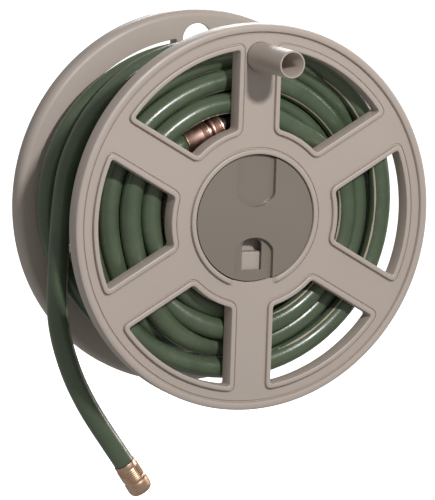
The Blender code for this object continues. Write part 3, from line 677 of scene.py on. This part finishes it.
def window_lip(centre_angle, outer_radius, web_face, groove):
    """The (outline, depth) run from a window's edge at the flange's back through it and over its lip."""
    edge = window(centre_angle, outer_radius, EDGE)
    wall = window(centre_angle, outer_radius, 0)
    lip = lip_run(lambda grow: window(centre_angle, outer_radius, grow), web_face, groove)
    return [(edge, FLANGE_DEPTH), (wall, FLANGE_DEPTH - EDGE), *lip]


def window_collar(centre_angle, outer_radius, web_back):
    """The (outline, depth) run of the collar behind a window, from the web to the collar's end."""
    foot, collar, end = (window(centre_angle, outer_radius, grow, corner)
                         for grow, corner in ((0.0036, 0.0065), (0.003, 0.006), (0.0026, 0.0057)))
    return [(foot, web_back), (collar, web_back + 0.0008), (collar, FLANGE_DEPTH - 0.0004),
            (end, FLANGE_DEPTH)]


def rim_section(web_face, web_back, groove):
    """(radius, depth) pairs of the rim, from the web's front round the outside to the web's back."""
    bead = FLANGE_RADIUS - RIM_BEAD
    front = [(bead - 0.0020, web_face), (bead - 0.0017, web_face + groove),
             (bead - 0.0001, web_face + groove), (bead, web_face - 0.0006), (bead + 0.0002, 0.0013),
             (bead + 0.0009, 0.0004), (bead + 0.0022, 0), (FLANGE_RADIUS - 0.0035, 0),
             (FLANGE_RADIUS - 0.0018, 0.0003), (FLANGE_RADIUS - 0.0007, 0.0010), (FLANGE_RADIUS, 0.0025)]
    if web_back < FLANGE_DEPTH:
        back = ((0, FLANGE_DEPTH - 0.0012), (0.0012, FLANGE_DEPTH), (0.0034, FLANGE_DEPTH),
                (0.004, FLANGE_DEPTH - EDGE), (0.004, web_back + 0.0008), (0.0048, web_back))
    else:
        back = ((0, FLANGE_DEPTH - 0.0075), (0.0006, FLANGE_DEPTH - 0.0045), (0.0022, FLANGE_DEPTH - 0.0019),
                (0.0045, FLANGE_DEPTH - 0.0004), (0.0070, FLANGE_DEPTH))
    return front + [(FLANGE_RADIUS - inset, depth) for inset, depth in back]


def round_run(section):
    """The (outline, depth) run of a (radius, depth) section turned about the flange's axis."""
    return [(circle(radius, FLANGE_STEPS), depth) for radius, depth in section]


def flange_mesh(name, web_face, web_back, hole_radius, hole_orbit, groove, window_radius):
    """One flange, its outer lips at depth 0: a thin web with rounded lips and a rim bead, collars behind
    them unless the web lies at their end, and a cup for the hub."""
    has_collars = web_back < FLANGE_DEPTH
    angles = [360 / SPOKES * i for i in range(SPOKES)]
    lips = [window_lip(angle, window_radius, web_face, groove) for angle in angles]
    collars = [window_collar(angle, window_radius, web_back) for angle in angles if has_collars]
    cup = round_run([(CUP_RADIUS, CUP_FLOOR)])
    cup += lip_run(lambda grow: circle(CUP_RADIUS + grow, FLANGE_STEPS), web_face, groove)
    cup_wall = round_run([(CUP_RADIUS + 0.0036, web_back), (CUP_RADIUS + 0.003, web_back + 0.0008),
                          (CUP_RADIUS + 0.003, CUP_BACK - 0.001), (CUP_RADIUS + 0.002, CUP_BACK)])
    rim = round_run(rim_section(web_face, web_back, groove))
    handle_hole = [(circle(hole_radius + grow, 64, (0, hole_orbit)), depth) for grow, depth in (
        (EDGE, web_face), (0, web_face + EDGE), (0, web_back - EDGE), (EDGE, web_back))]
    holes = [circle(BUSH_RADIUS + GAP, 48)]
    holes += [circle(SCREW_HOLE, 16, polar(SCREW_CIRCLE, angle)) for angle in SCREW_ANGLES]
    skins = [*lips, *collars, cup, rim, cup_wall, handle_hole]
    skins += [[(hole, CUP_FLOOR), (hole, CUP_BACK)] for hole in holes]
    faces = [(web_face, [rim[0][0], *[lip[-1][0] for lip in lips], handle_hole[0][0], cup[-1][0]]),
             (CUP_FLOOR, [cup[0][0], *holes]), (CUP_BACK, [cup_wall[-1][0], *holes])]
    if has_collars:
        seat_inner, seat_outer = DRUM_RADIUS - 0.004, DRUM_RADIUS - 0.0004
        seat = round_run([(seat_inner - 0.0007, web_back), (seat_inner, web_back + 0.0007),
                          (seat_inner, FLANGE_DEPTH), (seat_outer, FLANGE_DEPTH), (seat_outer, web_back)])
        skins.append(seat)
        collar_feet = [collar[0][0] for collar in collars]
        faces += [(web_back, [rim[-1][0], *collar_feet, handle_hole[-1][0], seat[-1][0]]),
                  (web_back, [seat[0][0], cup_wall[0][0]])]
        faces += [(FLANGE_DEPTH, [collar[-1][0], lip[0][0]]) for collar, lip in zip(collars, lips)]
    else:
        faces.append((FLANGE_DEPTH, [rim[-1][0], *[lip[0][0] for lip in lips], handle_hole[-1][0],
                                     cup_wall[0][0]]))
    return layered(name, skins, faces)


def break_cup_lip(mesh, half_width):
    """Lowers the cup's lip to the web at its lowest point, under the cap's lower pocket."""
    for vertex in mesh.vertices:
        x, depth, z = vertex.co
        on_lip = CUP_RADIUS - 0.0001 < math.hypot(x, z) < CUP_RADIUS + LIP_WIDTH + 0.002
        if on_lip and abs(x) < half_width and z < 0 and depth < WEB_FACE + 0.002:
            vertex.co.y = WEB_FACE


def fit(name, mesh, material, body, location, direction, node):
    """Places a detailed piece on a body in the stead of its CAD node."""
    piece = place(name, mesh, material, location, direction)
    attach(piece, body)
    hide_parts(node)
    return piece


def soften(piece, width):
    """Rounds a piece's sharp edges."""
    modifier = piece.modifiers.new("edges", "BEVEL")
    modifier.width = width
    modifier.segments = 3
    modifier.limit_method = "ANGLE"
    modifier.angle_limit = math.radians(40)


INWARDS, OUTWARDS = (0, 1, 0), (0, -1, 0)
FRONT, BACK = (0, FRONT_FACE, 0), (0, BACK_FACE, 0)
front_shape = flange_mesh("flange_front", WEB_FACE, WEB_BACK, HANDLE_HOLE, HANDLE_ORBIT, GROOVE,
                          WINDOW_OUTER)
break_cup_lip(front_shape, POCKET_HALF_WIDTH + 0.003)
back_shape = flange_mesh("flange_back", FLANGE_DEPTH - WEB_THICKNESS, FLANGE_DEPTH, BACK_HOLE,
                         BACK_HOLE_ORBIT, BACK_GROOVE, BACK_WINDOW_OUTER)
fit("flange_front", front_shape, TAUPE, "spool", FRONT, INWARDS, "front_flange")
fit("flange_back", back_shape, TAUPE, "spool", BACK, OUTWARDS, "back_flange")


# Hub cap and the catch behind it.


def pocket_end(height, bulge):
    """The curved end of a finger pocket with its two corners rounded, from its right side to its left. It
    bulges up (1) or down (-1)."""
    radius = (POCKET_HALF_WIDTH ** 2 + POCKET_END_RISE ** 2) / (2 * POCKET_END_RISE)
    sweep = math.degrees(math.asin(POCKET_HALF_WIDTH / radius))
    run = arc(radius, bulge * (90 - sweep), bulge * (90 + sweep), 12, (0, height - bulge * radius))
    foot = height - bulge * 0.030
    outline = [(POCKET_HALF_WIDTH, foot), run[0], *run[2:-2], run[-1], (-POCKET_HALF_WIDTH, foot)]
    radii = [0, POCKET_CORNER, *[0] * (len(outline) - 4), POCKET_CORNER, 0]
    return rounded(outline, radii)[1:-1]


def hub_cap_mesh():
    """The round cover, with two finger pockets and a catch hole in the lower one."""
    side = math.degrees(math.acos(POCKET_HALF_WIDTH / CAP_RADIUS))
    right = arc(CAP_RADIUS, -side, side, 48)
    left = arc(CAP_RADIUS, 180 - side, 180 + side, 48)
    top_rim = arc(CAP_RADIUS, side, 180 - side, 24)[1:-1]
    bottom_rim = arc(CAP_RADIUS, 180 + side, 360 - side, 24)[1:-1]
    top_end = pocket_end(TOP_POCKET_END, -1)
    bottom_end = pocket_end(BOTTOM_POCKET_END, 1)
    face = right + top_end + left + bottom_end[::-1]
    whole = right + top_rim + left + bottom_rim
    half = CATCH_HALF_WIDTH
    catch_top = [(x, z) for x, z in bottom_end if abs(x) < half - 0.001]
    catch = [(-half, CATCH_BOTTOM), (half, CATCH_BOTTOM), (half, CATCH_TOP)]
    catch += [(x, z - 0.0022) for x, z in catch_top] + [(-half, CATCH_TOP)]
    skins = [[(face, CAP_FACE), (face, POCKET_FLOOR)], [(whole, POCKET_FLOOR), (whole, CAP_BACK)],
             [(catch, POCKET_FLOOR), (catch, CAP_BACK)]]
    faces = [(CAP_FACE, [face]), (CAP_BACK, [whole, catch]),
             (POCKET_FLOOR, [right[-1:] + top_rim + left[:1] + top_end[::-1]]),
             (POCKET_FLOOR, [left[-1:] + bottom_rim + right[:1] + bottom_end, catch])]
    return layered("hub_cap", skins, faces, 40)


def block(name, size):
    """A box with the given size along each axis."""
    bm = bmesh.new()
    bmesh.ops.create_cube(bm, size=1)
    bmesh.ops.scale(bm, vec=size, verts=bm.verts)
    return finished(name, bm)


soften(fit("cap_cover", hub_cap_mesh(), DARK_TAUPE, "cap", FRONT, INWARDS, "hub_cap"), 0.0013)
CATCH_SIZE = (0.026, CUP_FLOOR - GAP - CATCH_FRONT, 0.022)
catch = fit("catch_block", block("catch_block", CATCH_SIZE), TAUPE, "spool",
            (0, FRONT_FACE + CATCH_FRONT + CATCH_SIZE[1] / 2, CATCH_CENTRE_Z), INWARDS, "cap_catch")
soften(catch, 0.0012)


# Crank handle.

HANDLE = (0, FRONT_FACE, HANDLE_ORBIT)
bushing = [(NECK + GAP, WEB_FACE), (HANDLE_HOLE - GAP, WEB_FACE), (HANDLE_HOLE - GAP, WEB_BACK + GAP),
           (0.018, WEB_BACK + GAP), (0.018, WEB_BACK + 0.0025), (NECK + GAP, WEB_BACK + 0.0025)]
fit("bushing", turned("bushing", softened(bushing, 0.0004)), TAUPE, "spool", HANDLE, INWARDS,
    "handle_bushing")

GRIP_BASE = WEB_FACE - GAP
grip = [(0, -0.002), (GRIP_BORE - 0.001, -0.002), (GRIP_BORE, -0.004), (GRIP_BORE, GRIP_TIP + 0.0006),
        (GRIP_BORE + 0.0005, GRIP_TIP), (GRIP_RADIUS - 0.0006, GRIP_TIP),
        (GRIP_RADIUS - 0.0001, GRIP_TIP + 0.0005), (GRIP_RADIUS, GRIP_TIP + 0.0012),
        (GRIP_ROOT, GRIP_BASE - 0.0006), (GRIP_ROOT - 0.0006, GRIP_BASE), (NECK, GRIP_BASE),
        (NECK, NECK_END - 0.0005), (NECK - 0.0005, NECK_END), (0, NECK_END)]
fit("grip", turned("grip", grip), TAUPE, "handle", HANDLE, INWARDS, "handle_grip")

RETAINER = WEB_BACK + 0.0028
retainer = [(NECK + GAP, RETAINER), (0.0165, RETAINER), (0.0165, RETAINER + 0.002),
            (NECK + GAP, RETAINER + 0.002)]
fit("retainer", turned("retainer", softened(retainer, 0.0004)), STEEL, "handle", HANDLE, INWARDS,
    "handle_retainer")


# Hose couplings.


def ridges(radius, relief, start, end, count):
    """A (radius, depth) run with evenly spaced ridges."""
    run = []
    pitch = (end - start) / count
    for i in range(count):
        for share, height in ((0.0, 0.0), (0.3, 0.6), (0.5, 1.0), (0.7, 0.6)):
            run.append((radius + relief * height, start + pitch * (i + share)))
    return run + [(radius, end)]


def coupling_frame():
    """The point where the female coupling's seal lies and the direction in which the hose leaves it."""
    x, z = polar(COUPLING_ORBIT, COUPLING_ANGLE)
    along = Vector((-z, 0, x)).normalized()
    return Vector((x, FRONT_FACE + COUPLING_DEPTH, z)) + along * SEAL_OFFSET, along


SEAL, ALONG = coupling_frame()

# The couplings' sections, as (radius, distance along the hose) pairs.
ferrule = [(0.0062, 0.0031), (0.0125, 0.0031), (0.0125, 0.0051), (0.0094, 0.0051), (0.0094, 0.0125),
           (0.0121, 0.0125), (0.0128, 0.0130), (0.0128, 0.0146), (0.0117, 0.0153),
           *ridges(0.0117, 0.0004, 0.0158, 0.0212, 3), (0.0118, 0.0218), (0.0118, 0.0380), (0.0122, 0.0386),
           (0.0122, 0.0396), (0.0118, 0.0400), (0.0062, 0.0400)]
nut = [(0.0088, -0.0030), (0.0136, -0.0030), (0.0142, -0.0024), (0.0142, -0.0008), (0.0136, -0.0002),
       *ridges(0.0133, 0.0004, 0.0002, 0.0062, 4), (0.0136, 0.0068), (0.0142, 0.0074), (0.0142, 0.0088),
       (0.0137, 0.0095), (0.0097, 0.0095), (0.0097, 0.0055), (0.0129, 0.0055), (0.0129, -0.0004),
       (0.0088, -0.0004)]
coupling = [
    fit("ferrule_inner", turned("ferrule_inner", ferrule), COPPER, "spool", SEAL, ALONG, "female_ferrule"),
    fit("nut_inner", turned("nut_inner", nut), COPPER, "nut", SEAL, ALONG, "swivel_nut")]


def make_elbow():
    """The bent tube from the swivel out to the coupling's seal."""
    x, z = polar(1, ELBOW_ANGLE)
    out = Vector((x, 0, z))
    reach = COUPLING_ORBIT / math.cos(math.radians(COUPLING_ANGLE - ELBOW_ANGLE))
    swivel = Vector((0, SWIVEL_Y, 0))
    start = swivel + out * (SWIVEL_RADIUS + GAP)
    leg_end = swivel + out * (reach - 0.020)
    corner = Vector((0, SEAL.y, 0)) + out * reach
    route = smooth_path([start, (start + leg_end) / 2, leg_end, corner - out * 0.005 + ALONG * 0.005,
                         corner + ALONG * 0.012, SEAL - ALONG * 0.012, SEAL], 10)
    elbow = hose_mesh("elbow", route, [0] * len(route), ELBOW_RADIUS, 40)
    elbow.data.materials.append(BLACK)
    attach(elbow, "spool")
    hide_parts("outlet_elbow")


make_elbow()

TAIL_END = TAIL_PATH[-1]
TAIL_ALONG = (TAIL_PATH[-1] - TAIL_PATH[-2]).normalized()
end_ferrule = [(0.0062, 0.0003), (0.0114, 0.0003), (0.0117, 0.0008), (0.0118, 0.0064),
               *ridges(0.0118, 0.0007, 0.0068, 0.0202, 6), (0.0120, 0.0206), (0.0120, 0.0210),
               (0.0062, 0.0210)]
end_nipple = [(0.0070, 0.0213), (0.0112, 0.0213), (0.0112, 0.0228), (0.0121, 0.0236), (0.0128, 0.0246),
              (0.0129, 0.0270), (0.0129, 0.0330), (0.0126, 0.0352), (0.0118, 0.0370), (0.0108, 0.0380),
              (0.0092, 0.0383), (0.0074, 0.0383), (0.0070, 0.0379)]
end_pieces = [
    fit("ferrule_outer", turned("ferrule_outer", end_ferrule), BRASS, "bracket", TAIL_END, TAIL_ALONG,
        "male_ferrule"),
    fit("nipple_outer", turned("nipple_outer", end_nipple), BRASS, "bracket", TAIL_END, TAIL_ALONG,
        "male_nipple")]


# Spool's inner parts and the bracket.


def wall_screw_mesh():
    """A wood screw with a low round head and a ridged, pointed shank. The head lies on a washer."""
    seat = -PLATE_THICKNESS - 2 * GAP - WASHER
    run = [(0, seat - 0.0045), (0.0052, seat - 0.0045), (0.0056, seat - 0.0040), (0.0057, seat - 0.0008),
           (0.0068, seat - 0.0006), (0.0068, seat), (0.0034, seat), (0.0034, 0.0010)]
    return turned("wall_screw", [*run, *ridges(0.0027, 0.0007, 0.0015, 0.0265, 10), (0, 0.034)], 36)


def wall_plate_mesh():
    """The plate on the wall, with the boss that holds the axle and four ribs at its foot."""
    half_width, half_height = PLATE_WIDTH / 2, PLATE_HEIGHT / 2
    outlines = []
    for inset in (0, 0.0008):
        x, z = half_width - inset, half_height - inset
        outlines.append(rounded([(-x, -z), (x, -z), (x, z), (-x, z)], [PLATE_CORNER] * 4, 8))
    holes = [circle(WALL_SCREW_HOLE, 24, (x, z)) for x in (-WALL_SCREW_X, WALL_SCREW_X)
             for z in (-WALL_SCREW_Z, WALL_SCREW_Z)]
    half_rib = math.degrees(math.asin(RIB_HALF_WIDTH / BOSS_FOOT))
    tip = math.degrees(math.asin(RIB_HALF_WIDTH / RIB_REACH))
    foot = []
    for rib in (45, 135, 225, 315):
        foot += [polar(RIB_REACH, rib - tip), polar(RIB_REACH, rib + tip)]
        foot += arc(BOSS_FOOT, rib + half_rib, rib + 90 - half_rib, 16)
    boss, boss_top, socket = (circle(radius, 72)
                              for radius in (BOSS_RADIUS, BOSS_RADIUS - 0.001, SOCKET_RADIUS))
    skins = [[(outlines[0], 0), (outlines[0], PLATE_THICKNESS - 0.0008), (outlines[1], PLATE_THICKNESS)],
             [(foot, PLATE_THICKNESS), (foot, BOSS_FOOT_DEPTH)],
             [(boss, BOSS_FOOT_DEPTH), (boss, BOSS_DEPTH - 0.001), (boss_top, BOSS_DEPTH)],
             [(socket, SOCKET_DEPTH), (socket, BOSS_DEPTH)]]
    skins += [[(hole, 0), (hole, PLATE_THICKNESS)] for hole in holes]
    faces = [(0, [outlines[0], *holes]), (PLATE_THICKNESS, [outlines[1], foot, *holes]),
             (BOSS_FOOT_DEPTH, [foot, boss]), (BOSS_DEPTH, [boss_top, socket]), (SOCKET_DEPTH, [socket])]
    return layered("wall_plate_fine", skins, faces)


fit("plate", wall_plate_mesh(), TAUPE, "bracket", (0, 0, 0), OUTWARDS, "wall_plate")
screw_shape = wall_screw_mesh()
washer_back = -PLATE_THICKNESS - GAP
wall_washer = [(WALL_SCREW_HOLE, washer_back - WASHER), (WASHER_RADIUS, washer_back - WASHER),
               (WASHER_RADIUS, washer_back), (WALL_SCREW_HOLE, washer_back)]
washer_shape = turned("wall_washer", softened(wall_washer, 0.0003))
wall_spots = [(x, z) for z in (WALL_SCREW_Z, -WALL_SCREW_Z) for x in (-WALL_SCREW_X, WALL_SCREW_X)]
for i, (x, z) in enumerate(wall_spots, 1):
    fit(f"screw_{i}", screw_shape, STEEL, "bracket", (x, 0, z), INWARDS, f"wall_screw_{i}")
    fit(f"washer_{i}", washer_shape, STEEL, "bracket", (x, 0, z), INWARDS, f"wall_washer_{i}")
inlet = [(0.0065, 0.0126), (0.0092, 0.0126), (0.0092, 0.0373), (0.0150, 0.0373), (0.0155, 0.0378),
         (0.0155, 0.0428), (0.0150, 0.0433), (0.0118, 0.0433), (0.0118, 0.0463),
         *ridges(0.0122, 0.0012, 0.0466, 0.0626, 7), (0.0118, 0.0640), (0.0065, 0.0640)]
fit("inlet", turned("inlet", inlet), BRASS, "bracket", (0, INLET_Y, 0), (0, 0, -1), "inlet_fitting")

# Each node left as it is in the CAD model, with its material.
for node, material in (
        ("water_swivel", BLACK), ("drum", TAUPE), ("front_hub_plate", TAUPE), ("rear_hub_plate", TAUPE),
        ("front_bush", NYLON), ("rear_bush", NYLON), ("coupling_washer", RUBBER), ("o_ring_rear", RUBBER),
        ("o_ring_front", RUBBER), ("axle_tube", STEEL), ("axle_nut", STEEL), ("rear_thrust_washer", STEEL),
        ("front_thrust_washer", STEEL),
        *[(f"{end}_flange_screw_{i}", STEEL) for end in ("front", "rear") for i in (1, 2, 3)]):
    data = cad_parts[node].data
    data.materials.clear()
    data.materials.append(material)


# Studio.

FILL = 0.33
LIT_SPOT = Vector((0, -0.13, 0))


def area_light(name, location, size, power):
    """A round lamp that points at the reel's middle."""
    lamp = bpy.data.lights.new(name, "AREA")
    lamp.shape = "DISK"
    lamp.size = size
    lamp.energy = power
    made = link(bpy.data.objects.new(name, lamp))
    made.location = location
    made.rotation_mode = "QUATERNION"
    made.rotation_quaternion = (LIT_SPOT - Vector(location)).to_track_quat("-Z", "Y")


def make_floor():
    """A plain white floor under the reel, so far below it that no shadow is seen on it."""
    bm = bmesh.new()
    bmesh.ops.create_grid(bm, x_segments=1, y_segments=1, size=12)
    floor = place("floor", finished("floor", bm), FLOOR, (0, 0, -0.6), INWARDS)
    floor.visible_diffuse = False
    floor.visible_glossy = False


def make_studio():
    """Even light from all round, which the camera sees as white, and three lamps."""
    world = bpy.data.worlds.new("studio")
    bpy.context.scene.world = world
    world.use_nodes = True
    nodes, links = world.node_tree.nodes, world.node_tree.links
    brightness = nodes.new("ShaderNodeMapRange")
    brightness.inputs["To Min"].default_value = FILL
    brightness.inputs["To Max"].default_value = 1.0
    links.new(nodes.new("ShaderNodeLightPath").outputs["Is Camera Ray"], brightness.inputs["Value"])
    links.new(brightness.outputs["Result"], nodes["Background"].inputs["Strength"])
    nodes["Background"].inputs["Color"].default_value = (1, 1, 1, 1)
    area_light("key", (0, -2.13, 1.0), 0.16, 32)
    area_light("back", (0.9, 1.7, 1.2), 1.2, 26)
    area_light("side", (2.1, -0.13, 0.7), 1.0, 16)


make_floor()
make_studio()
bpy.context.scene.view_settings.view_transform = "Standard"
